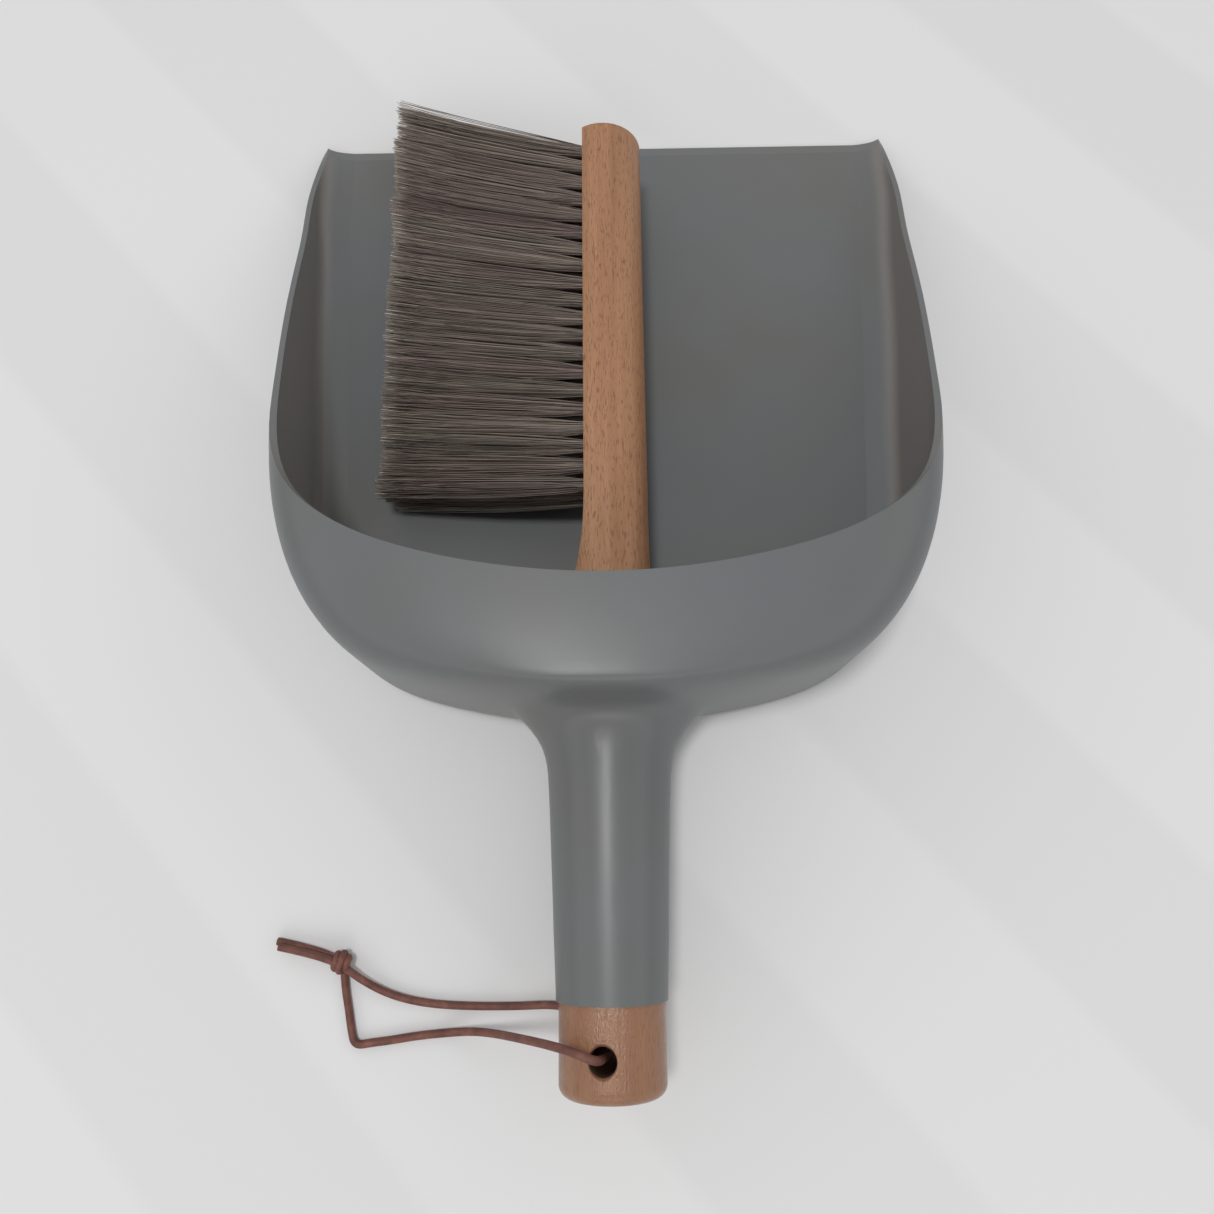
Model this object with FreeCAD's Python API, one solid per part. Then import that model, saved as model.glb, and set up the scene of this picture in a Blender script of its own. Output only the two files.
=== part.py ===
# Dustpan and brush set.
#
# The dustpan is one moulding: a wide scoop whose back closes into a crowned hood and
# runs out into a hollow handle, so that it also works as a funnel.  The brush lies in
# the scoop with its round handle pushed through the hollow handle.  A looped leather
# cord hangs from a hole near the end of the brush handle.
#
# Frame: +Y points from the handle to the front lip, +X to the right, +Z up.
# The origin is on the flat base, under the axis of the handle.  Millimetres.

import FreeCAD
import Part
import math
import os

from FreeCAD import Placement, Rotation, Vector

# ----------------------------------------------------------------------------
# Sizes
# ----------------------------------------------------------------------------

# Dustpan
AXIS_HEIGHT = 25.0            # axis of the hollow handle and of the brush above the floor
LIP_Y = 110.5                 # front lip
SHELL_END_Y = -196.0          # open end of the hollow handle
WALL = 1.9                    # wall of the moulding
HOOD_HEIGHT = 67.0            # highest point of the hood
HALF_WIDTH = 109.0            # widest half of the scoop
LIP_SIDE_HEIGHT = 2.6         # height of the side walls at the front lip
HOOD_EDGE_Y = -83.5           # front edge of the hood at its middle
LIP_BEVEL_LENGTH = 4.0        # the floor thins over this length to the lip
LIP_THICKNESS = 1.0
ROOF_POWER = 7.0              # how square the corners of the hood are, 2 is an ellipse
FLOOR_POWER = 11             # the same for the corners of the floor
CROWN = 0.19                  # share by which the roof falls from its middle to its sides
BASE_SINK = 0.8               # depth of the hull below the floor, planed off flat

# Brush stock
HANDLE_RADIUS = 15.0
HANDLE_END_Y = -220.6
HANDLE_END_ROUND = 3.5
HEAD_RADIUS = 13.4
HEAD_END_Y = 89.5
HEAD_END_ROUND = 1.2
HANDLE_TAPER_START_Y = -100.0 # the round handle blends into the head between these two
HANDLE_TAPER_END_Y = -62.0
FLAT_OFFSET = 4.8             # the face with the bristles, from the axis
FLAT_START_Y = -53.0          # straight end of that face
COVE_LENGTH = 42.0            # hollow that runs from the face out to the handle
ROLL = 10.2                   # the brush lies turned about its axis, bristles down
GUIDE_CLEARANCE = 0.08        # running clearance of the handle in the end of the pan
GUIDE_LENGTH = 9.0
BORE_OPENING = 1.1            # how much wider in radius the bore is at the scoop

# Bristles
ROWS = ("upper", "middle", "lower")
ROW_SPACING = 6.2
TUFTS_IN_ROW = 20
FIRST_TUFT_Y = -43.0
LAST_TUFT_Y = 83.2
TUFT_HOLE_RADIUS = 2.1
TUFT_HOLE_DEPTH = 9.0
TUFT_TIP_RADIUS = 2.9
TUFT_LENGTH = 71.0            # free length beyond the face
TUFT_LEAN_FIRST = 5.0         # lean towards the lip, degrees, at the first tuft
TUFT_LEAN_LAST = 23.0         # and at the last
STAPLE_WIDTH = 5.2
STAPLE_HEIGHT = 1.8
STAPLE_THICKNESS = 0.5

# Leather cord
CORD_RADIUS = 1.2
HANG_HOLE_Y = -209.5
HANG_HOLE_RADIUS = 3.8
HANG_HOLE_EASE = 0.5
KNOT_LENGTH = 9.0
KNOT_RADIUS = 3.45

# ----------------------------------------------------------------------------
# Curves that shape the dustpan
# ----------------------------------------------------------------------------

CREST_HEIGHT = HOOD_HEIGHT - AXIS_HEIGHT
KEEL_DEPTH = AXIS_HEIGHT + BASE_SINK

# The hollow handle: (distance along the pan, radius), a slight taper to its open end.
HANDLE = [(SHELL_END_Y - 6, 15.7), (-176, 16.5), (-156, 17.3), (-137, 18.0), (-125, 18.8)]

# Plan outline of the back and of the scoop: (distance along the pan, half width).
PLAN = HANDLE + [
    (-114.5, 28.5), (-114, 31), (-107.5, HALF_WIDTH - 47), (-98, HALF_WIDTH - 29.5),
    (-76, HALF_WIDTH - 14), (-46, HALF_WIDTH - 6), (-15, HALF_WIDTH - 5.5),
    (30, HALF_WIDTH - 0.8), (70, HALF_WIDTH - 1.2), (LIP_Y + 8, HALF_WIDTH + 4),
]

# Side view of the top: (distance along the pan, height above the axis).
CREST = HANDLE + [
    (-115.5, 21), (-115, 35), (-113.3, CREST_HEIGHT - 1.4), (-110, CREST_HEIGHT - 0.9),
    (-99, CREST_HEIGHT - 0.4), (-80, CREST_HEIGHT), (-46, CREST_HEIGHT), (-15, CREST_HEIGHT), (30, CREST_HEIGHT),
    (70, CREST_HEIGHT), (LIP_Y + 8, CREST_HEIGHT),
]

# Side view of the underside: (distance along the pan, depth below the axis).
KEEL = HANDLE + [
    (-115.5, 19.5), (-115, 24), (-110, KEEL_DEPTH), (-90, KEEL_DEPTH), (-60, KEEL_DEPTH),
    (-15, KEEL_DEPTH), (40, KEEL_DEPTH), (LIP_Y + 8, KEEL_DEPTH),
]

STATIONS = 44
POINTS_AROUND = 48


def smooth_curve(table):
    """A smooth curve steered by the points of a table."""
    curve = Part.BSplineCurve()
    curve.buildFromPoles([Vector(y, value, 0) for y, value in table], False, 3)
    return curve


def inset_point(curve, t, inset):
    """The point of a curve at t, moved in by the wall, square to the curve."""
    point = curve.value(t)
    along = curve.tangent(t)[0]
    return Vector(point.x + inset * along.y, point.y - inset * along.x, 0)


def value_at(curve, y, inset):
    """How far out the inset curve is at the distance y along the pan."""
    low = curve.FirstParameter
    high = curve.LastParameter
    for _ in range(40):
        middle = 0.5 * (low + high)
        if inset_point(curve, middle, inset).x < y:
            low = middle
        else:
            high = middle
    return inset_point(curve, 0.5 * (low + high), inset).y


def ramp(value, start, end):
    """0 before start, 1 after end, smooth between."""
    t = min(1.0, max(0.0, (value - start) / (end - start)))
    return t * t * (3 - 2 * t)


def section(y, half_width, crest, keel, squareness):
    """A closed cross-section of the hull: round at the handle, crowned and squarish at the scoop."""
    roof_power = 2 + (ROOF_POWER - 2) * squareness
    floor_power = 2 + (FLOOR_POWER - 2) * squareness
    points = []
    for i in range(POINTS_AROUND):
        angle = 2 * math.pi * i / POINTS_AROUND - math.pi / 2
        c = math.cos(angle)
        s = math.sin(angle)
        if s > 0:
            reach = (abs(c) ** roof_power + s ** roof_power) ** (-1 / roof_power)
            height = crest * (1 - CROWN * squareness * (reach * c) ** 2)
        else:
            reach = (abs(c) ** floor_power + abs(s) ** floor_power) ** (-1 / floor_power)
            height = keel
        points.append(Vector(half_width * reach * c, y, AXIS_HEIGHT + height * reach * s))
    curve = Part.BSplineCurve()
    steps = [i / POINTS_AROUND for i in range(POINTS_AROUND + 1)]
    curve.interpolate(Points=points, PeriodicFlag=True, Parameters=steps)
    return Part.Wire(curve.toShape())


def hull(inset):
    """The solid inside the outer surface, or inside the inner one when inset is the wall."""
    plan = smooth_curve(PLAN)
    crest = smooth_curve(CREST)
    keel = smooth_curve(KEEL)
    first = plan.FirstParameter
    step = (plan.LastParameter - first) / (STATIONS - 1)
    wires = []
    for i in range(STATIONS):
        y = inset_point(plan, first + i * step, inset).x
        half_width = value_at(plan, y, inset)
        squareness = ramp(half_width, 18, 70)
        wires.append(section(y, half_width, value_at(crest, y, inset),
                             value_at(keel, y, inset), squareness))
    return Part.makeLoft(wires, True, False)


def turned(shape):
    """The brush frame, in which the bristles point along -X, turned and lifted into place."""
    shape = shape.copy()
    shape.Placement = Placement(Vector(0, 0, AXIS_HEIGHT),
                                Rotation(Vector(0, 1, 0), -ROLL)).multiply(shape.Placement)
    return shape


def cylinder_y(radius, start, end):
    return Part.makeCylinder(radius, end - start, Vector(0, start, 0), Vector(0, 1, 0))


def box(x0, x1, y0, y1, z0, z1):
    return Part.makeBox(x1 - x0, y1 - y0, z1 - z0, Vector(x0, y0, z0))


# ----------------------------------------------------------------------------
# Dustpan
# ----------------------------------------------------------------------------

def cut_mouth(shell, outer):
    """Open the scoop along one slanted plane, with the edge square to the wall all the way round."""
    far = 300
    slope = (HOOD_HEIGHT - LIP_SIDE_HEIGHT) / (LIP_Y - HOOD_EDGE_Y)
    back = HOOD_EDGE_Y - 60
    front = LIP_Y + 60
    plane = Part.Face(Part.makePolygon([
        Vector(-far, back, HOOD_HEIGHT + 60 * slope),
        Vector(far, back, HOOD_HEIGHT + 60 * slope),
        Vector(far, front, LIP_SIDE_HEIGHT - 60 * slope),
        Vector(-far, front, LIP_SIDE_HEIGHT - 60 * slope),
        Vector(-far, back, HOOD_HEIGHT + 60 * slope)]))
    skin = max(outer.Faces, key=lambda face: face.Area)
    rim = Part.Wire(Part.__sortEdges__(skin.section(plane).Edges))
    outside = []
    inside = []
    for point in rim.discretize(120):
        u, v = skin.Surface.parameter(point)
        square = skin.normalAt(u, v)
        outside.append(point + square * 1.5)
        inside.append(point - square * (WALL + 1.5))
    curves = []
    for points in (outside, inside):
        curve = Part.BSplineCurve()
        curve.interpolate(points)
        curves.append(curve.toShape())
    knife = Part.makeRuledSurface(curves[0], curves[1])
    pieces, _ = shell.generalFuse([knife])
    return min(pieces.Solids, key=lambda solid: solid.CenterOfMass.z)


def make_dustpan():
    outer = hull(0)
    inner = hull(WALL)
    far = 400
    floor_top = box(-far, far, -far, far, WALL, far)
    base_up = box(-far, far, -far, far, 0, far)
    guide_radius = HANDLE_RADIUS + GUIDE_CLEARANCE
    # the bore of the hollow handle: a short guide, then a cone that opens to the scoop
    guide = cylinder_y(guide_radius, SHELL_END_Y - 10, SHELL_END_Y + GUIDE_LENGTH)
    cone = Part.makeCone(guide_radius, guide_radius + BORE_OPENING, 75,
                         Vector(0, SHELL_END_Y + GUIDE_LENGTH, 0), Vector(0, 1, 0))
    bore = guide.fuse(cone)
    bore.translate(Vector(0, 0, AXIS_HEIGHT))
    scoop_hollow = inner.common(floor_top).common(box(-far, far, -128, far, -far, far))
    shell = outer.common(base_up).common(box(-far, far, SHELL_END_Y, LIP_Y, -far, far))
    shell = shell.cut(scoop_hollow)
    shell = shell.cut(bore)
    shell = cut_mouth(shell, outer)
    # the floor thins to the lip: the hollow again, tipped down over the last few millimetres
    bevel_start = Vector(0, LIP_Y - LIP_BEVEL_LENGTH, WALL)
    tip = math.degrees(math.atan2(WALL - LIP_THICKNESS, LIP_BEVEL_LENGTH))
    bevel = scoop_hollow.copy()
    bevel.rotate(bevel_start, Vector(1, 0, 0), -tip)
    bevel = bevel.common(box(-far, far, LIP_Y - LIP_BEVEL_LENGTH, far, 0, 60))
    shell = shell.cut(bevel)
    return shell


# ----------------------------------------------------------------------------
# Brush stock
# ----------------------------------------------------------------------------

def tuft_places():
    """For each row: the tufts as (root on the face, direction), in the brush frame."""
    places = {}
    for row, name in enumerate(ROWS):
        height = (1 - row) * ROW_SPACING
        tufts = []
        for i in range(TUFTS_IN_ROW):
            share = i / (TUFTS_IN_ROW - 1)
            y = FIRST_TUFT_Y + share * (LAST_TUFT_Y - FIRST_TUFT_Y)
            lean = math.radians(TUFT_LEAN_FIRST + share * (TUFT_LEAN_LAST - TUFT_LEAN_FIRST))
            direction = Vector(-1, math.tan(lean), 0)
            direction.normalize()
            tufts.append((Vector(-FLAT_OFFSET, y, height), direction))
        places[name] = tufts
    return places


def staple_solid(root):
    """A flat wire staple at the bottom of a tuft hole."""
    x = -FLAT_OFFSET + TUFT_HOLE_DEPTH
    return box(x - STAPLE_HEIGHT, x, root.y - STAPLE_THICKNESS / 2, root.y + STAPLE_THICKNESS / 2,
               root.z - STAPLE_WIDTH / 2, root.z + STAPLE_WIDTH / 2)


def hole_solid(root):
    return Part.makeCylinder(TUFT_HOLE_RADIUS, TUFT_HOLE_DEPTH, root, Vector(1, 0, 0))


def make_brush_stock():
    handle = cylinder_y(HANDLE_RADIUS, HANDLE_END_Y, HANDLE_TAPER_START_Y)
    end_edge = [e for e in handle.Edges
                if len(e.Vertexes) == 1 and abs(e.CenterOfMass.y - HANDLE_END_Y) < 0.01]
    handle = handle.makeFillet(HANDLE_END_ROUND, end_edge)
    blend_points = [Vector(HANDLE_RADIUS, HANDLE_TAPER_START_Y - 8, 0),
                    Vector(HANDLE_RADIUS, HANDLE_TAPER_START_Y, 0),
                    Vector(0.6 * HANDLE_RADIUS + 0.4 * HEAD_RADIUS, -88, 0),
                    Vector(0.3 * HANDLE_RADIUS + 0.7 * HEAD_RADIUS, -76, 0),
                    Vector(HEAD_RADIUS, HANDLE_TAPER_END_Y, 0),
                    Vector(HEAD_RADIUS, HANDLE_TAPER_END_Y + 8, 0)]
    outline = Part.BSplineCurve()
    outline.buildFromPoles(blend_points, False, 3)
    start = blend_points[0].y
    end = blend_points[-1].y
    profile = Part.Wire([
        outline.toShape(),
        Part.makeLine(Vector(HEAD_RADIUS, end, 0), Vector(0, end, 0)),
        Part.makeLine(Vector(0, end, 0), Vector(0, start, 0)),
        Part.makeLine(Vector(0, start, 0), Vector(HANDLE_RADIUS, start, 0))])
    blend = Part.Face(profile).revolve(Vector(0, 0, 0), Vector(0, 1, 0), 360)
    head = cylinder_y(HEAD_RADIUS, end, HEAD_END_Y)
    head_edge = [e for e in head.Edges
                 if len(e.Vertexes) == 1 and abs(e.CenterOfMass.y - HEAD_END_Y) < 0.01]
    head = head.makeFillet(HEAD_END_ROUND, head_edge)
    stock = handle.fuse(blend).fuse(head).removeSplitter()
    # the face that holds the bristles, and the cove that leads out of it
    cove_start = FLAT_START_Y - COVE_LENGTH
    cove = Part.BSplineCurve()
    cove.buildFromPoles([
        Vector(-FLAT_OFFSET, FLAT_START_Y + 10, 0),
        Vector(-FLAT_OFFSET, FLAT_START_Y, 0),
        Vector(-FLAT_OFFSET - 0.6, FLAT_START_Y - 0.30 * COVE_LENGTH, 0),
        Vector(-FLAT_OFFSET - 4.5, FLAT_START_Y - 0.62 * COVE_LENGTH, 0),
        Vector(-HANDLE_RADIUS - 2.5, cove_start, 0)], False, 3)
    away = -40
    cutter = Part.Face(Part.Wire([
        cove.toShape(),
        Part.makeLine(Vector(-HANDLE_RADIUS - 2.5, cove_start, 0), Vector(away, cove_start, 0)),
        Part.makeLine(Vector(away, cove_start, 0), Vector(away, HEAD_END_Y + 5, 0)),
        Part.makeLine(Vector(away, HEAD_END_Y + 5, 0), Vector(-FLAT_OFFSET, HEAD_END_Y + 5, 0)),
        Part.makeLine(Vector(-FLAT_OFFSET, HEAD_END_Y + 5, 0),
                      Vector(-FLAT_OFFSET, FLAT_START_Y + 10, 0))]))
    cutter.translate(Vector(0, 0, -30))
    stock = stock.cut(cutter.extrude(Vector(0, 0, 60)))
    # the hole for the cord, with worn edges
    hang_hole = Part.makeCylinder(HANG_HOLE_RADIUS, 60, Vector(0, HANG_HOLE_Y, -30))
    stock = stock.cut(hang_hole)
    # both mouths of the hole are eased with a short cone
    for side in (-1, 1):
        ease = Part.makeCone(HANG_HOLE_RADIUS, HANG_HOLE_RADIUS + 2 * HANG_HOLE_EASE, 2 * HANG_HOLE_EASE,
                             Vector(0, HANG_HOLE_Y, side * (HANDLE_RADIUS - 1.4 * HANG_HOLE_EASE)),
                             Vector(0, 0, side))
        stock = stock.cut(ease)
    cutters = []
    for tufts in tuft_places().values():
        for root, _ in tufts:
            cutters.append(hole_solid(root).fuse(staple_solid(root)))
    return stock.cut(Part.makeCompound(cutters))


def make_tufts(tufts):
    """One row of tufts, each filling its hole round the staple and fanning out beyond it."""
    solids = []
    for root, direction in tufts:
        plug = hole_solid(root).cut(staple_solid(root))
        fan = Part.makeCone(TUFT_HOLE_RADIUS, TUFT_TIP_RADIUS, TUFT_LENGTH + 4,
                            root - direction * 2, direction)
        beyond = box(-200, -FLAT_OFFSET, -200, 300, -60, 60)
        solids.append(turned(plug.fuse(fan.common(beyond)).removeSplitter()))
    return Part.makeCompound(solids)


def make_staples(tufts):
    return Part.makeCompound([turned(staple_solid(root)) for root, _ in tufts])


# ----------------------------------------------------------------------------
# Leather cord
# ----------------------------------------------------------------------------

REST = CORD_RADIUS + 0.05     # height of a cord's centre when it lies on the floor

# Upper half of the loop: out of the bottom of the hole, under the handle, to the knot.
UPPER_HALF = [
    (0.3, -209.5, 23.0), (1.6, -209.5, 16.5), (2.8, -208.2, 5.6), (-5.5, -203.2, 2.5),
    (-16.5, -200.2, 1.45), (-29.0, -200.7, REST), (-43.0, -200.6, REST), (-56.0, -199.8, REST),
    (-67.0, -197.4, REST + 0.3), (-76.0, -193.0, 2.6), (-83.0, -187.6, 5.0),
    (-92.9, -184.7, 3.55), (-102.4, -182.75, 3.5),
]

# Lower half: out of the top of the hole, over the handle, folded back to the knot.
LOWER_HALF = [
    (-0.5, -209.4, 27.0), (-2.4, -209.4, 35.0), (-4.0, -208.6, 45.2), (-10.0, -206.6, 43.6),
    (-17.0, -205.8, 36.5), (-23.5, -206.0, 27.0), (-29.5, -206.3, 18.5), (-35.5, -206.7, 10.5),
    (-42.5, -207.1, 4.2), (-51.0, -208.0, REST), (-60.0, -208.8, REST), (-67.0, -209.9, REST),
    (-72.8, -210.5, REST), (-78.0, -211.3, REST), (-79.3, -206.4, REST), (-80.3, -201.2, REST),
    (-81.8, -194.8, REST), (-82.6, -187.4, REST + 0.3), (-93.2, -183.4, REST), (-103.6, -181.3, REST),
]
KNOT_CENTRE = Vector(-82.9, -187.0, 3.6)
KNOT_DIRECTION = Vector(-1.0, 0.42, 0)


def rounded_path(points):
    """Straight runs joined by tangent arcs, and the radii of the arcs."""
    corners = [Vector(*p) for p in points]
    edges = []
    radii = []
    last = corners[0]
    for before, corner, after in zip(corners, corners[1:], corners[2:]):
        back = before - corner
        ahead = after - corner
        run = min(back.Length, ahead.Length)
        half_turn = (math.pi - back.getAngle(ahead)) / 2
        setback = 0.45 * run
        radii.append(round(setback / math.tan(half_turn), 1))
        back.normalize()
        ahead.normalize()
        start = corner + back * setback
        end = corner + ahead * setback
        inward = back + ahead
        inward.normalize()
        radius = setback / math.tan(half_turn)
        centre = corner + inward * (radius / math.cos(half_turn))
        middle = centre - inward * radius
        edges.append(Part.makeLine(last, start))
        edges.append(Part.Arc(start, middle, end).toShape())
        last = end
    edges.append(Part.makeLine(last, corners[-1]))
    return Part.Wire(edges), radii


def tube(points, name):
    """A round cord along a rounded path."""
    path, radii = rounded_path(points)
    start = Vector(*points[0])
    circle = Part.makeCircle(CORD_RADIUS, start, Vector(*points[1]) - start)
    solid = path.makePipeShell([Part.Wire(circle)], True, False)
    print(name, "length", round(path.Length, 1), "radii", radii,
          "volume/expected", round(solid.Volume / (math.pi * CORD_RADIUS ** 2 * path.Length), 4))
    return solid


def make_knot(strands):
    """The overhand knot that closes the loop, with the two strands running through it."""
    body = Part.makeSphere(1)
    stretch = FreeCAD.Matrix()
    stretch.scale(Vector(KNOT_LENGTH / 2, KNOT_RADIUS + 0.6, KNOT_RADIUS))
    body = body.transformGeometry(stretch)
    body.rotate(Vector(0, 0, 0), Vector(0, 0, 1),
                math.degrees(math.atan2(KNOT_DIRECTION.y, KNOT_DIRECTION.x)))
    body.translate(KNOT_CENTRE)
    for strand in strands:
        body = body.cut(strand)
    return body


# ----------------------------------------------------------------------------
# Build
# ----------------------------------------------------------------------------

def main():
    os.makedirs("parts", exist_ok=True)
    nodes = {}
    nodes["dustpan"] = make_dustpan()
    nodes["brush_stock"] = turned(make_brush_stock())
    for name, tufts in tuft_places().items():
        nodes["tufts_" + name + "_row"] = make_tufts(tufts)
        nodes["staples_" + name + "_row"] = make_staples(tufts)
    nodes["cord_upper_half"] = tube(UPPER_HALF, "cord_upper_half")
    nodes["cord_lower_half"] = tube(LOWER_HALF, "cord_lower_half")
    nodes["cord_knot"] = make_knot([nodes["cord_upper_half"], nodes["cord_lower_half"]])
    for name, shape in nodes.items():
        bounds = shape.BoundBox
        print(name, "solids", len(shape.Solids), "valid", shape.isValid(),
              "volume", round(shape.Volume, 1),
              "x", round(bounds.XMin, 2), round(bounds.XMax, 2),
              "y", round(bounds.YMin, 2), round(bounds.YMax, 2),
              "z", round(bounds.ZMin, 2), round(bounds.ZMax, 2))
        shape.exportStep("parts/" + name + ".step")


main()
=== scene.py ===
# %% [markdown]
# # Dustpan and brush set
#
# A grey funnel-shaped dustpan, a beech hand brush lying in it with its handle pushed
# through the hollow handle of the pan, and a leather thong tied through the brush.
#
# The hard parts (pan, wood) come in as a fixed frame and only get materials here.
# The bristles and the thong are soft, so they are built here, in place of the plain
# solids that stand for them in the frame.
#
# Units are metres.  +Y points from the handle to the front lip, +X right, +Z up, and
# the floor is z = 0.

import math

import bpy
import numpy as np
from mathutils import Matrix, Vector


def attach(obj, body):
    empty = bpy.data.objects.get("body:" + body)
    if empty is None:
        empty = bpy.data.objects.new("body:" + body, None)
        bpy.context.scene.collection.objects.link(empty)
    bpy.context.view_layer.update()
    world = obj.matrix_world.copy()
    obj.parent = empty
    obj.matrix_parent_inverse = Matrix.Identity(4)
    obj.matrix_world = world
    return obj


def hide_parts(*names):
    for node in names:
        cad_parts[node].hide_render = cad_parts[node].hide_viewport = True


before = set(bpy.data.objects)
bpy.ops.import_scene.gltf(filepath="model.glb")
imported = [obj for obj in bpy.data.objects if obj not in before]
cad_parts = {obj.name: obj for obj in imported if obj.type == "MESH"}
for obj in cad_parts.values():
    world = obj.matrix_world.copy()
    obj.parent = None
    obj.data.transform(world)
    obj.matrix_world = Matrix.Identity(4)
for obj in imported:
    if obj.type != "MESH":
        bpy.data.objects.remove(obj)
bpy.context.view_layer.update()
scene = bpy.context.scene
scene.view_settings.view_transform = "Standard"

# %% [markdown]
# ## The camera
#
# It stands over the handle end and looks down at the pan, tipped a little towards the
# lip.  It starts out looking straight down with the lip uppermost, and three small
# turns bring it to its place: yaw about the vertical, pitch towards the lip, then a
# roll about its own line of sight.  A camera can also be aimed at a point with a
# tracking constraint; separate turns are used because each can be changed by itself.

# %% Place the camera
CAMERA_PLACE = Vector((0.0021, -0.1594, 0.3082))
CAMERA_PITCH = math.radians(15.33)
CAMERA_YAW = math.radians(1.68)
CAMERA_ROLL = math.radians(-2.40)

camera_data = bpy.data.cameras.new("camera")
camera_data.sensor_width = 36.0
camera_data.lens = 27.84
camera = bpy.data.objects.new("camera", camera_data)
scene.collection.objects.link(camera)
turn = (Matrix.Rotation(CAMERA_YAW, 4, "Z") @ Matrix.Rotation(CAMERA_PITCH, 4, "X")
        @ Matrix.Rotation(CAMERA_ROLL, 4, "Z"))
camera.matrix_world = Matrix.Translation(CAMERA_PLACE) @ turn
scene.camera = camera
print("camera", [round(x, 4) for x in CAMERA_PLACE], "lens", camera_data.lens, "mm")

# %% [markdown]
# ## Material helpers
#
# Every material starts from the same three steps: make it, add a node, join two
# sockets.  The nodes could be placed by hand in the shader editor, but small functions
# keep each recipe below short enough to read and quick to change.


# %% Start a material
def new_material(name):
    """An empty material, with its Principled shader and its node tree."""
    material = bpy.data.materials.new(name)
    material.use_nodes = True
    tree = material.node_tree
    shader = next(n for n in tree.nodes if n.type == "BSDF_PRINCIPLED")
    return material, tree, shader


def node(tree, kind, **settings):
    """A new node; settings are its properties, or the default values of its inputs."""
    made = tree.nodes.new(kind)
    for key, value in settings.items():
        if hasattr(made, key):
            setattr(made, key, value)
        else:
            made.inputs[key.replace("_", " ")].default_value = value
    return made


def join(tree, source, target):
    tree.links.new(source, target)


print("material, node and join ready")


# %% Patterns and colours
def stretched_position(tree, scale):
    """The point on the object, in metres, stretched differently along X, Y and Z."""
    place = node(tree, "ShaderNodeTexCoord")
    mapping = node(tree, "ShaderNodeMapping")
    mapping.inputs["Scale"].default_value = scale
    join(tree, place.outputs["Object"], mapping.inputs["Vector"])
    return mapping.outputs["Vector"]


def noise(tree, position, scale, detail=4.0, roughness=0.55):
    made = node(tree, "ShaderNodeTexNoise")
    made.inputs["Scale"].default_value = scale
    made.inputs["Detail"].default_value = detail
    made.inputs["Roughness"].default_value = roughness
    join(tree, position, made.inputs["Vector"])
    return made.outputs["Fac"]


def ramp(tree, value, *stops):
    """A colour ramp: stops are (position, colour)."""
    made = node(tree, "ShaderNodeValToRGB")
    elements = made.color_ramp.elements
    while len(elements) < len(stops):
        elements.new(0.5)
    for element, (position, colour) in zip(elements, stops):
        element.position = position
        element.color = (*colour, 1.0)
    join(tree, value, made.inputs["Fac"])
    return made.outputs["Color"]


def fit(tree, value, low, high, new_low, new_high):
    """Moves a value from one range to another and keeps it there."""
    made = node(tree, "ShaderNodeMapRange")
    for name, number in (("From Min", low), ("From Max", high), ("To Min", new_low), ("To Max", new_high)):
        made.inputs[name].default_value = number
    join(tree, value, made.inputs["Value"])
    return made.outputs["Result"]


def mix(tree, amount, first, second, how="MIX"):
    """Mixes two colours.  amount, first and second are sockets or plain values."""
    made = tree.nodes.new("ShaderNodeMix")
    made.data_type = "RGBA"
    made.blend_type = how
    for socket, given in ((made.inputs[0], amount), (made.inputs[6], first), (made.inputs[7], second)):
        if isinstance(given, bpy.types.NodeSocket):
            join(tree, given, socket)
        elif isinstance(given, (int, float)):
            socket.default_value = given
        else:
            socket.default_value = (*given, 1.0)
    return made.outputs[2]


def calculate(tree, operation, first, second=0.0, clamp=False):
    """One step of arithmetic on sockets or plain numbers."""
    made = tree.nodes.new("ShaderNodeMath")
    made.operation = operation
    made.use_clamp = clamp
    for socket, given in zip(made.inputs, (first, second)):
        if isinstance(given, bpy.types.NodeSocket):
            join(tree, given, socket)
        else:
            socket.default_value = given
    return made.outputs[0]


print("patterns and colours ready")


# %% Relief and paint
def bump(tree, shader, height, depth, strength):
    """Raises the surface by height times depth, in metres."""
    made = node(tree, "ShaderNodeBump")
    made.inputs["Distance"].default_value = depth
    made.inputs["Strength"].default_value = strength
    join(tree, height, made.inputs["Height"])
    join(tree, made.outputs["Normal"], shader.inputs["Normal"])


def paint(obj, material):
    """Gives a frame node or a new piece its material."""
    if obj.material_slots:
        for material_slot in obj.material_slots:
            material_slot.link = "OBJECT"
            material_slot.material = material
    else:
        obj.data.materials.append(material)


print("relief and paint ready")

# %% [markdown]
# ## The thong
#
# One leather thong goes through the hole near the end of the wooden handle.  It is
# drawn as two halves that meet in the middle of the hole.  The upper half leaves the
# hole underneath, passes under the wood and runs to the knot; the lower half leaves it
# on top, goes over the side of the handle, lies on the table, folds back sharply and
# meets the other half in the knot.
#
# A rope could be simulated, but it would settle somewhere else each time a size
# changed.  A smooth curve with a round section is used instead: a short row of points
# steers it, so it lies where it is wanted.

# %% Leather
leather, tree, shader = new_material("thong_leather")
position = stretched_position(tree, (1, 1, 1))
blotches = noise(tree, position, 260, 3)
colour = ramp(tree, blotches, (0.30, (0.110, 0.040, 0.029)), (0.55, (0.175, 0.066, 0.047)),
              (0.75, (0.260, 0.110, 0.080)))
join(tree, colour, shader.inputs["Base Color"])
pores = noise(tree, position, 2600, 5, 0.7)
join(tree, fit(tree, pores, 0.3, 0.7, 0.50, 0.72), shader.inputs["Roughness"])
bump(tree, shader, pores, 0.00012, 0.8)
print("leather ready")

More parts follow.
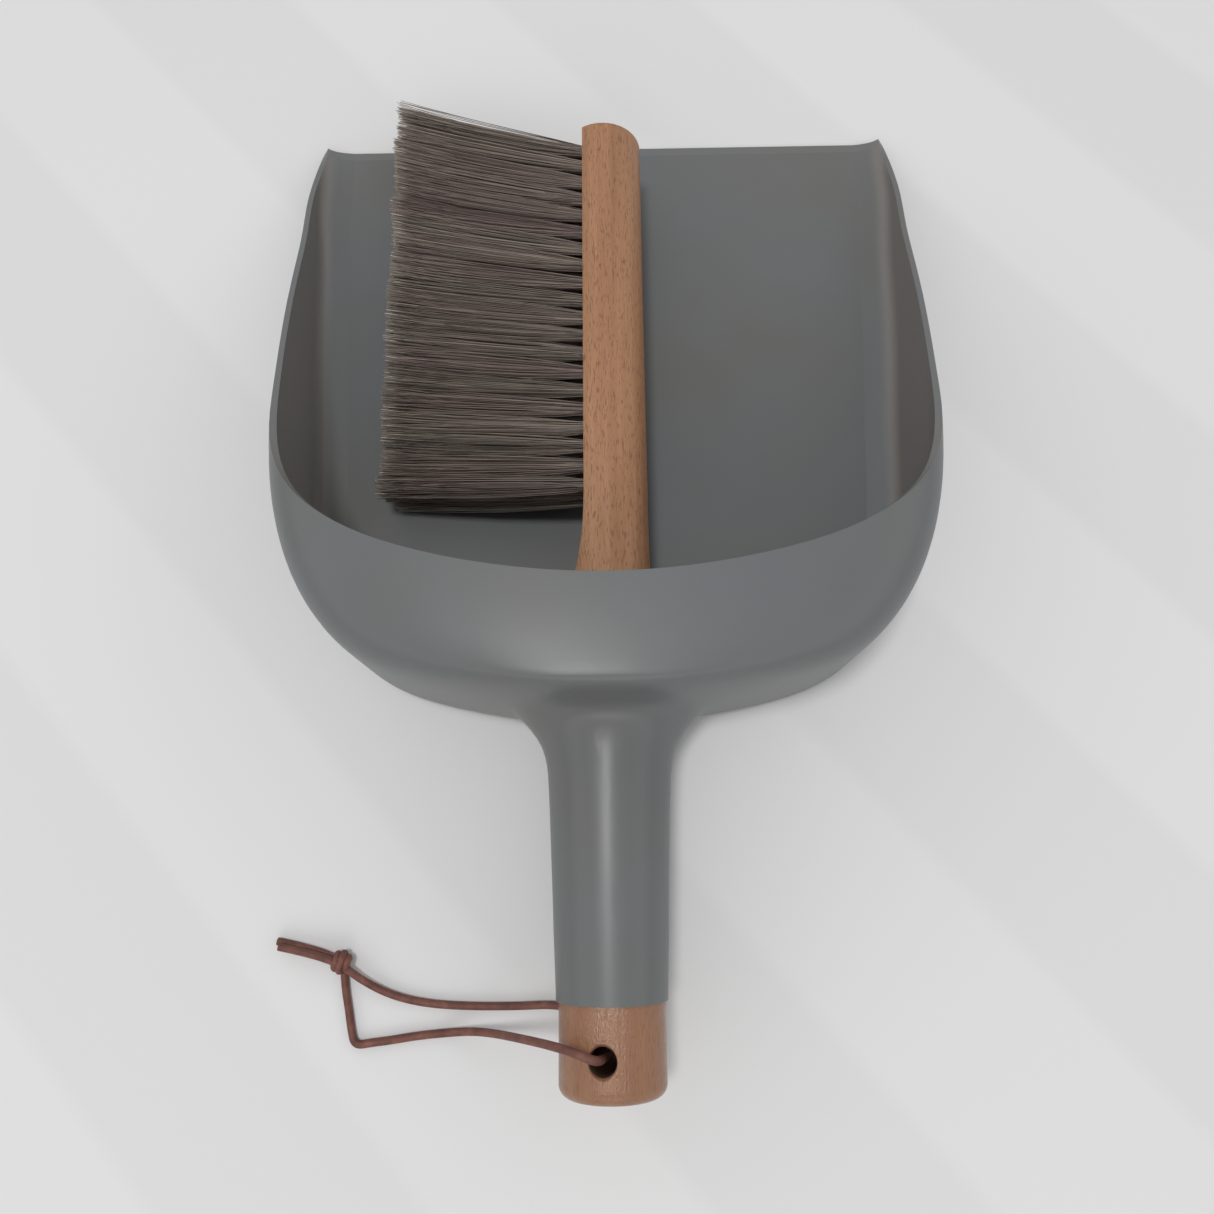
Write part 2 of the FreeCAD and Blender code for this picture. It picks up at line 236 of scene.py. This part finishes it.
# %% The two halves of the thong
THONG_RADIUS = 0.0012
REST = 0.00125
UPPER_ROUTE = [
    (0.0003, -0.2095, 0.0230), (0.0016, -0.2095, 0.0165), (0.0028, -0.2082, 0.0056),
    (-0.0055, -0.2032, 0.0025), (-0.0165, -0.2002, 0.00145), (-0.0290, -0.2007, REST),
    (-0.0430, -0.2006, REST), (-0.0560, -0.1998, REST), (-0.0670, -0.1974, 0.00155),
    (-0.0760, -0.1930, 0.0026), (-0.0830, -0.1876, 0.0050), (-0.0929, -0.1847, 0.00355),
    (-0.1024, -0.18275, 0.0035),
]
LOWER_ROUTE = [
    (-0.0005, -0.2094, 0.0270), (-0.0024, -0.2094, 0.0350), (-0.0042, -0.2088, 0.0430),
    (-0.0100, -0.2067, 0.0412), (-0.0170, -0.2059, 0.0350), (-0.0235, -0.2060, 0.0268),
    (-0.0295, -0.2063, 0.0185), (-0.0355, -0.2067, 0.0105), (-0.0425, -0.2071, 0.0042),
    (-0.0510, -0.2080, REST), (-0.0600, -0.2088, REST), (-0.0670, -0.2099, REST),
    (-0.0728, -0.2105, REST), (-0.0780, -0.2113, REST), (-0.0793, -0.2064, REST),
    (-0.0803, -0.2012, REST), (-0.0818, -0.1948, REST), (-0.0826, -0.1874, 0.00155),
    (-0.0932, -0.1834, REST), (-0.1036, -0.1813, REST),
]


def smooth_line(name, route, radius):
    """A smooth curve steered by the points of a route, as thick as the thong."""
    data = bpy.data.curves.new(name, "CURVE")
    data.dimensions = "3D"
    data.resolution_u = 10
    data.bevel_depth = radius
    data.bevel_resolution = 4
    data.use_fill_caps = True
    spline = data.splines.new("NURBS")
    spline.points.add(len(route) - 1)
    for point, place in zip(spline.points, route):
        point.co = (*place, 1.0)
    spline.order_u = 3
    spline.use_endpoint_u = True
    spline.resolution_u = 10
    made = bpy.data.objects.new(name, data)
    scene.collection.objects.link(made)
    return made


def centre_line(curve):
    """The points that a curve runs through, read from the curve itself."""
    thickness = curve.data.bevel_depth
    caps = curve.data.use_fill_caps
    curve.data.bevel_depth = 0
    curve.data.use_fill_caps = False
    mesh = bpy.data.meshes.new_from_object(curve)
    points = [v.co.copy() for v in mesh.vertices]
    bpy.data.meshes.remove(mesh)
    curve.data.bevel_depth = thickness
    curve.data.use_fill_caps = caps
    return points


def line_length(points):
    """The length of a row of points, joined by straight runs."""
    return sum((b - a).length for a, b in zip(points, points[1:]))


upper_half = smooth_line("thong_upper_half", UPPER_ROUTE, THONG_RADIUS)
lower_half = smooth_line("thong_lower_half", LOWER_ROUTE, THONG_RADIUS)
upper_line = centre_line(upper_half)
lower_line = centre_line(lower_half)
for half in (upper_half, lower_half):
    half.data.materials.append(leather)
print("upper half", round(line_length(upper_line), 4), "m")
print("lower half", round(line_length(lower_line), 4), "m")

# %% [markdown]
# ## The knot
#
# On the real set both strands are tied together in one overhand knot.  A true knot
# could be drawn with its own crossing path, but at this size only its wrapped turns
# show.  So it is a short coil that swells in the middle, round the two strands.

# %% Tie the knot
KNOT_PLACE = Vector((-0.0828, -0.1873, 0.0037))
KNOT_ALONG = Vector((-1.0, 0.42, 0.0)).normalized()
KNOT_TURNS = 2.6
KNOT_HALF_LENGTH = 0.0022
KNOT_BULGE = 0.0027
KNOT_POINTS = 34
KNOT_START_ANGLE = 0.6
KNOT_END_SHARE = 0.55         # radius at the ends of the coil, as a share of the bulge
KNOT_FLATTEN = 0.82           # height of the coil, as a share of its width
KNOT_THONG_SHARE = 0.95       # the tied thong is pulled a little thinner

knot_across = Vector((0, 0, 1)).cross(KNOT_ALONG).normalized()
knot_route = []
for i in range(KNOT_POINTS):
    share = i / (KNOT_POINTS - 1)
    angle = 2 * math.pi * KNOT_TURNS * share + KNOT_START_ANGLE
    reach = KNOT_BULGE * (KNOT_END_SHARE + 0.45 * math.sin(math.pi * share))
    along = KNOT_HALF_LENGTH * (2 * share - 1)
    spot = (KNOT_PLACE + KNOT_ALONG * along + knot_across * (reach * math.cos(angle))
            + Vector((0, 0, KNOT_FLATTEN * reach * math.sin(angle))))
    knot_route.append(tuple(spot))
knot = smooth_line("thong_knot", knot_route, THONG_RADIUS * KNOT_THONG_SHARE)
knot.data.materials.append(leather)
print("knot turns:", KNOT_TURNS)

# %% [markdown]
# ## Tie the thong to the brush
#
# The thong hangs from the hole in the wood, so it travels with the brush.  It could be
# left loose in the scene, but then it would stay behind when the brush is drawn out.

# %% Fasten the thong to the brush
for piece, nodes in ((upper_half, ["cord_upper_half"]), (lower_half, ["cord_lower_half"]),
                     (knot, ["cord_knot"])):
    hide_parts(*nodes)
    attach(piece, "brush")
print("thong declared")

# %% [markdown]
# ## The bristles
#
# Sixty tufts stand in three rows along the flat face of the wood.  Each tuft is a
# bundle of fine filaments that leave one drilled hole close together and fan out
# towards their tips.  The tufts near the lip lean towards it.  The brush lies rolled a
# little about its axis, so the filaments slope down until their tips meet the pan.
#
# Blender's hair would be quicker to comb but is not a mesh, and a model that leaves
# Blender needs one.  Each filament is therefore a thin tube with three sides, and all
# the tubes of a row make one mesh.

# %% Sizes of the brush
AXIS_HEIGHT = 0.025
ROLL = math.radians(10.2)
FACE_OFFSET = 0.0048
TUFTS_IN_ROW = 20
FIRST_TUFT = -0.043
LAST_TUFT = 0.0832
ROW_SPACING = 0.0062
LEAN_FIRST = math.radians(5)
LEAN_LAST = math.radians(23)
TUFT_LENGTH = 0.0732
ROOT_RADIUS = 0.0019
TIP_SPREAD_ALONG = 0.0046
TIP_SPREAD_UP = 0.0031
PAN_FLOOR = 0.0019
FILAMENTS = 130
FILAMENT_RADIUS = 0.00015
STEPS = 7

# How much one tuft differs from the next, and one filament from the next.
TUFT_TONE = 0.08
TUFT_REACH = 0.006
TUFT_SWING = 0.012
FILAMENT_REACH = 0.005
FILAMENT_TONE = 0.35
FILAMENT_TINT = 0.25
BEND_SIDEWAYS = 0.0007
BEND_UPWARDS = 0.0005
STRAY_TIP = 0.0006
# share of filaments whose tips get a painted glint
PAINTED_GLINT_SHARE = 0.07
OUTER_SHORTER = 0.0004
FAN_POWER = 0.6
HOLE_DEPTH = 0.002
TIP_CLEARANCE = 0.0003
TIP_PILE = 0.0008
TIP_TAPER = 0.68
print("filaments:", 3 * TUFTS_IN_ROW * FILAMENTS)


# %% Grow one row of tufts
def brush_to_world(points):
    """From the brush's own frame, bristles along -X, to where the rolled brush lies."""
    c = math.cos(ROLL)
    s = math.sin(ROLL)
    x = points[..., 0] * c - points[..., 2] * s
    z = points[..., 0] * s + points[..., 2] * c + AXIS_HEIGHT
    return np.stack([x, points[..., 1], z], -1)


def grow_row(name, height, seed):
    """All filaments of one row, as one mesh of thin three-sided tubes."""
    rng = np.random.default_rng(seed)
    lines = []
    tones = []
    tints = []
    painted_glints = []
    for i in range(TUFTS_IN_ROW):
        share = i / (TUFTS_IN_ROW - 1)
        y = FIRST_TUFT + share * (LAST_TUFT - FIRST_TUFT)
        lean = LEAN_FIRST + share * (LEAN_LAST - LEAN_FIRST)
        tuft_tone = rng.normal(0, TUFT_TONE)
        tuft_reach = 1 + rng.normal(0, TUFT_REACH)
        tuft_tint = rng.uniform()
        swing = rng.normal(0, TUFT_SWING)
        for _ in range(FILAMENTS):
            angle = rng.uniform(0, 2 * math.pi)
            radius = math.sqrt(rng.uniform())
            across = radius * math.cos(angle)
            up = radius * math.sin(angle)
            length = (TUFT_LENGTH * tuft_reach * (1 + FILAMENT_REACH * rng.normal())
                      - OUTER_SHORTER * radius)
            t = np.linspace(0, 1, STEPS)
            fan = t ** FAN_POWER
            bend = rng.normal(0, BEND_SIDEWAYS) * np.sin(math.pi * t)
            bend_up = rng.normal(0, BEND_UPWARDS) * np.sin(math.pi * t)
            stray = rng.normal(0, STRAY_TIP) * t ** 2
            line = np.empty((STEPS, 3))
            line[:, 0] = -FACE_OFFSET + HOLE_DEPTH - length * t
            line[:, 1] = (y + across * (ROOT_RADIUS + (TIP_SPREAD_ALONG - ROOT_RADIUS) * fan)
                          + length * (0.8 * t + 0.2 * t ** 2) * math.tan(lean + swing) + bend + stray)
            line[:, 2] = height + up * (ROOT_RADIUS + (TIP_SPREAD_UP - ROOT_RADIUS) * fan) + bend_up
            lines.append(line)
            tones.append(tuft_tone + rng.normal(0, FILAMENT_TONE))
            tints.append(np.clip(tuft_tint + rng.normal(0, FILAMENT_TINT), 0, 1))
            painted_glints.append(float(rng.uniform() < PAINTED_GLINT_SHARE))
    lines = brush_to_world(np.array(lines))
    # filaments that would sink into the pan lie on it, one on top of another
    lowest = PAN_FLOOR + TIP_CLEARANCE + rng.uniform(0, TIP_PILE, lines.shape[:1])[:, None]
    lines[..., 2] = np.maximum(lines[..., 2], lowest)
    return tube_mesh(name, lines, {"tone": np.array(tones), "tint": np.array(tints),
                                  "painted_glint": np.array(painted_glints)})


print("one row can be placed")


# %% Turn centre lines into tubes
def tube_mesh(name, lines, values):
    """Turns centre lines of the same number of points into thin three-sided tubes."""
    count, steps, _ = lines.shape
    ahead = np.gradient(lines, axis=1)
    ahead /= np.linalg.norm(ahead, axis=-1, keepdims=True)
    side = np.cross(ahead, (0.0, 0.0, 1.0))
    side /= np.linalg.norm(side, axis=-1, keepdims=True)
    rise = np.cross(side, ahead)
    taper = np.linspace(1.0, TIP_TAPER, steps)[None, :, None] * FILAMENT_RADIUS
    rings = []
    for k in range(3):
        angle = 2 * math.pi * k / 3 + math.pi / 2
        rings.append(lines + taper * (side * math.cos(angle) + rise * math.sin(angle)))
    vertices = np.stack(rings, 2).reshape(-1, 3)
    base = (np.arange(count)[:, None] * steps + np.arange(steps - 1)[None, :]) * 3
    faces = []
    for k in range(3):
        other = (k + 1) % 3
        faces.append(np.stack([base + k, base + other, base + 3 + other, base + 3 + k], -1).reshape(-1, 4))
    faces = np.concatenate(faces)
    mesh = bpy.data.meshes.new(name)
    mesh.from_pydata(vertices.tolist(), [], faces.tolist())
    for key, value in values.items():
        stored = mesh.attributes.new(key, "FLOAT", "POINT")
        stored.data.foreach_set("value", np.repeat(value, steps * 3).astype(np.float32))
    along = mesh.attributes.new("along", "FLOAT", "POINT")
    along.data.foreach_set("value", np.tile(np.repeat(np.linspace(0, 1, steps), 3), count).astype(np.float32))
    mesh.polygons.foreach_set("use_smooth", [True] * len(mesh.polygons))
    made = bpy.data.objects.new(name, mesh)
    scene.collection.objects.link(made)
    return made


print("tubes can be made")

# %% Grow the three rows
ROW_SEED = 11
rows = {}
for number, name in enumerate(("upper", "middle", "lower")):
    height = (1 - number) * ROW_SPACING
    rows[name] = grow_row("bristles_" + name + "_row", height, ROW_SEED + number)
    print(name, "row:", len(rows[name].data.polygons), "faces")

# %% [markdown]
# ## Bristle fibre
#
# The filaments are a dull taupe with lighter and darker ones mixed in, and a few cut
# tips carry a painted glint: a pale colour that stands in for the light they catch.  One
# noise over the whole row would make stripes that ignore the filaments, so each filament
# carries its own tone, tint and painted glint at the tip, and the material reads them.

# %% Bristle material
bristle, tree, shader = new_material("bristle_fibre")
tone = node(tree, "ShaderNodeAttribute", attribute_name="tone").outputs["Fac"]
along = node(tree, "ShaderNodeAttribute", attribute_name="along").outputs["Fac"]
tint = node(tree, "ShaderNodeAttribute", attribute_name="tint").outputs["Fac"]
painted_glint = node(tree, "ShaderNodeAttribute", attribute_name="painted_glint").outputs["Fac"]
body = ramp(tree, fit(tree, tone, -1.0, 1.0, 0, 1), (0.10, (0.115, 0.094, 0.085)),
            (0.45, (0.225, 0.182, 0.162)), (0.75, (0.330, 0.272, 0.238)),
            (1.00, (0.520, 0.440, 0.370)))
tinted = mix(tree, tint, (1.05, 0.95, 0.98), (0.97, 1.01, 0.94))
body = mix(tree, 1.0, body, tinted, "MULTIPLY")
worn_tip = fit(tree, along, 0.90, 1.0, 0.0, 0.30)
body = mix(tree, worn_tip, body, (0.60, 0.53, 0.45))
# a painted glint: a few tips are mixed towards near-white, standing in for light caught on the cut ends
painted_glint_tip = calculate(tree, "MULTIPLY", painted_glint, fit(tree, along, 0.93, 0.96, 0.0, 0.9))
join(tree, mix(tree, painted_glint_tip, body, (0.95, 0.90, 0.80)), shader.inputs["Base Color"])
shader.inputs["Roughness"].default_value = 0.34
shader.inputs["Specular IOR Level"].default_value = 0.55
for row, name in zip(rows.values(), rows):
    row.data.materials.append(bristle)
    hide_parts("tufts_" + name + "_row")
    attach(row, "brush")
print("bristles on the brush")

# %% [markdown]
# ## Plastic
#
# The pan is moulded in a neutral grey plastic with a satin skin: a very fine grain,
# slightly uneven gloss, and a faint drift in colour over the large faces.  A flat
# colour would look drawn, and a picture of plastic would not follow the curved shell,
# so the grain and the drift are noise in the plastic itself.

# %% Grey plastic
plastic, tree, shader = new_material("satin_grey_plastic")
position = stretched_position(tree, (1, 1, 1))
drift = noise(tree, position, 14, 2)
colour = ramp(tree, drift, (0.35, (0.140, 0.142, 0.136)), (0.50, (0.142, 0.147, 0.147)),
              (0.65, (0.142, 0.150, 0.156)))
# the insides of the side walls, where the face looks back towards the middle of the pan, are
# painted a lighter warm grey: painted light that stands in for the fill light on these walls
facing = node(tree, "ShaderNodeSeparateXYZ")
join(tree, node(tree, "ShaderNodeNewGeometry").outputs["Normal"], facing.inputs[0])
place = node(tree, "ShaderNodeSeparateXYZ")
join(tree, position, place.inputs[0])
inward = calculate(tree, "MULTIPLY", facing.outputs["X"], place.outputs["X"])
painted_wall_light = fit(tree, inward, -0.030, -0.085, 0.0, 1.0)
join(tree, mix(tree, painted_wall_light, colour, (0.218, 0.204, 0.194)), shader.inputs["Base Color"])
grain = noise(tree, position, 3200, 3, 0.6)
gloss = calculate(tree, "ADD", fit(tree, drift, 0.3, 0.7, 0.34, 0.40),
                  fit(tree, grain, 0.3, 0.7, -0.02, 0.02))
join(tree, gloss, shader.inputs["Roughness"])
shader.inputs["Specular IOR Level"].default_value = 0.4
bump(tree, shader, grain, 0.00002, 0.5)
paint(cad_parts["dustpan"], plastic)
print("pan painted")

# %% [markdown]
# ## Beech
#
# Beech is even and pinkish brown.  Its grain shows as soft stripes along the handle and
# a great many short dark flecks, the ends of its rays.  The worn end of the handle is
# redder and shinier than the head.  Stripes and flecks are both noise, pulled long
# along the handle: noise runs on through the solid, so no seam shows on the round wood.

# %% Beech wood
HOLE_Y = -0.2095
HOLE_RADIUS = 0.0038
# the painted shade of the hole reaches a little past its edge
HOLE_RIM = 0.0001             # dark this far past the hole, and faded out at three times it
WORN_FROM = -0.150
WORN_TO = -0.198

beech, tree, shader = new_material("oiled_beech")
stripes_place = stretched_position(tree, (160, 5, 160))
stripes = noise(tree, stripes_place, 1.0, 4, 0.6)
fleck_place = stretched_position(tree, (2300, 330, 2300))
flecks = noise(tree, fleck_place, 1.0, 2, 0.5)
fine_place = stretched_position(tree, (2600, 90, 2600))
fine = noise(tree, fine_place, 1.0, 3, 0.6)
wood = ramp(tree, stripes, (0.30, (0.300, 0.140, 0.068)), (0.52, (0.400, 0.198, 0.098)),
            (0.74, (0.480, 0.255, 0.135)))
fleck_amount = fit(tree, flecks, 0.56, 0.64, 0.0, 0.60)
wood = mix(tree, fleck_amount, wood, (0.135, 0.055, 0.026))
wood = mix(tree, fit(tree, fine, 0.4, 0.7, 0.0, 0.30), wood, (0.22, 0.100, 0.048))
ends = node(tree, "ShaderNodeSeparateXYZ")
join(tree, stretched_position(tree, (1, 1, 1)), ends.inputs[0])
worn = fit(tree, ends.outputs["Y"], WORN_FROM, WORN_TO, 0.0, 1.0)
wood = mix(tree, calculate(tree, "MULTIPLY", worn, 0.6), wood, (0.235, 0.102, 0.050))
# the inside of the hanging hole is dull, and its wood is painted darker: painted shade for the
# shadow deep in the bore.  The distance from its axis finds it
across = calculate(tree, "ADD", calculate(tree, "MULTIPLY", ends.outputs["X"], math.cos(ROLL)),
                   calculate(tree, "MULTIPLY", calculate(tree, "SUBTRACT", ends.outputs["Z"], AXIS_HEIGHT),
                             math.sin(ROLL)))
back = calculate(tree, "SUBTRACT", ends.outputs["Y"], HOLE_Y)
from_axis = calculate(tree, "SQRT", calculate(tree, "ADD", calculate(tree, "MULTIPLY", across, across),
                                              calculate(tree, "MULTIPLY", back, back)))
hole_shade_and_dullness = fit(tree, from_axis, HOLE_RADIUS + HOLE_RIM, HOLE_RADIUS + 3 * HOLE_RIM, 1.0, 0.0)
wood = mix(tree, hole_shade_and_dullness, wood, (0.150, 0.085, 0.060))
join(tree, wood, shader.inputs["Base Color"])
gloss = fit(tree, worn, 0.0, 1.0, 0.50, 0.17)
join(tree, calculate(tree, "ADD", gloss, hole_shade_and_dullness, True), shader.inputs["Roughness"])
shine = calculate(tree, "SUBTRACT", fit(tree, worn, 0.0, 1.0, 0.5, 0.70), hole_shade_and_dullness, True)
join(tree, shine, shader.inputs["Specular IOR Level"])
ripples = noise(tree, stretched_position(tree, (1500, 700, 1500)), 1.0, 4, 0.65)
relief = calculate(tree, "SUBTRACT", fine, calculate(tree, "MULTIPLY", fleck_amount, 0.6))
worn_ripples = calculate(tree, "MULTIPLY", ripples, calculate(tree, "MULTIPLY", worn, 4.0))
relief = calculate(tree, "ADD", relief, worn_ripples)
bump(tree, shader, relief, 0.00008, 0.8)
paint(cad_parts["brush_stock"], beech)
print("wood painted")

# %% [markdown]
# ## Staples
#
# A flat wire staple holds each folded tuft down in its hole.  It is drawn steel, bright
# with fine lines along it.  The staples sit inside the wood and hardly show, so the
# solids of the frame are kept and only painted.

# %% Wire of the staples
wire, tree, shader = new_material("staple_wire")
shader.inputs["Metallic"].default_value = 1.0
drawn = noise(tree, stretched_position(tree, (4000, 4000, 300)), 1.0, 2)
steel = ramp(tree, drawn, (0.3, (0.42, 0.42, 0.43)), (0.7, (0.62, 0.62, 0.63)))
join(tree, steel, shader.inputs["Base Color"])
join(tree, fit(tree, drawn, 0.3, 0.7, 0.25, 0.42), shader.inputs["Roughness"])
for name in ("upper", "middle", "lower"):
    paint(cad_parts["staples_" + name + "_row"], wire)
print("staples painted")

# %% [markdown]
# ## Table and light
#
# The set lies on a pale grey surface with faint wide bands.  A lamp alone would give
# hard shadows, so most of the light comes from a bright sky with a band low round the
# horizon, and two soft lamps only add the highlights on the round handle.

# %% Table
table_material, tree, shader = new_material("pale_table")
shader.inputs["Roughness"].default_value = 0.9
shader.inputs["Specular IOR Level"].default_value = 0.1
position = stretched_position(tree, (1, 1, 1))
turned_place = node(tree, "ShaderNodeMapping")
turned_place.inputs["Rotation"].default_value = (0, 0, math.radians(-42))
join(tree, position, turned_place.inputs["Vector"])
streaks = node(tree, "ShaderNodeTexWave", wave_profile="SIN")
streaks.inputs["Scale"].default_value = 2.6
streaks.inputs["Distortion"].default_value = 0.0
join(tree, turned_place.outputs["Vector"], streaks.inputs["Vector"])
join(tree, ramp(tree, streaks.outputs["Fac"], (0.42, (0.722, 0.722, 0.722)), (0.58, (0.752, 0.752, 0.752))),
     shader.inputs["Base Color"])
bpy.ops.mesh.primitive_plane_add(size=6.0, location=(0, 0, 0))
table = bpy.context.object
table.name = "table"
table.data.materials.append(table_material)
print("table ready")


# %% Lights
def soft_light(name, place, target, size, power):
    """A round lamp at place, turned towards target."""
    data = bpy.data.lights.new(name, "AREA")
    data.shape = "DISK"
    data.size = size
    data.energy = power
    made = bpy.data.objects.new(name, data)
    made.location = place
    made.rotation_euler = (Vector(target) - Vector(place)).to_track_quat("-Z", "Y").to_euler()
    scene.collection.objects.link(made)


world = bpy.data.worlds.new("studio")
scene.world = world
world.use_nodes = True
tree = world.node_tree
direction = node(tree, "ShaderNodeSeparateXYZ")
join(tree, node(tree, "ShaderNodeTexCoord").outputs["Generated"], direction.inputs[0])
sky_levels = ((0.00, 0.08), (0.22, 0.24), (0.34, 1.0), (0.55, 1.0), (0.70, 0.38), (1.00, 0.34))
sky = ramp(tree, direction.outputs["Z"], *[(height, (level, level, level)) for height, level in sky_levels])
join(tree, sky, tree.nodes["Background"].inputs["Color"])
tree.nodes["Background"].inputs["Strength"].default_value = 1.05
soft_light("overhead", (-0.26, -0.16, 2.20), (0, -0.05, 0), 0.40, 17)
soft_light("handle_side", (0.0, -1.60, 1.20), (0, -0.05, 0), 1.0, 3)
print("lights ready")

# %% [markdown]
# ## Finish
#
# The scene is brought up to date once more at the end.

# %% Finish
bpy.context.view_layer.update()
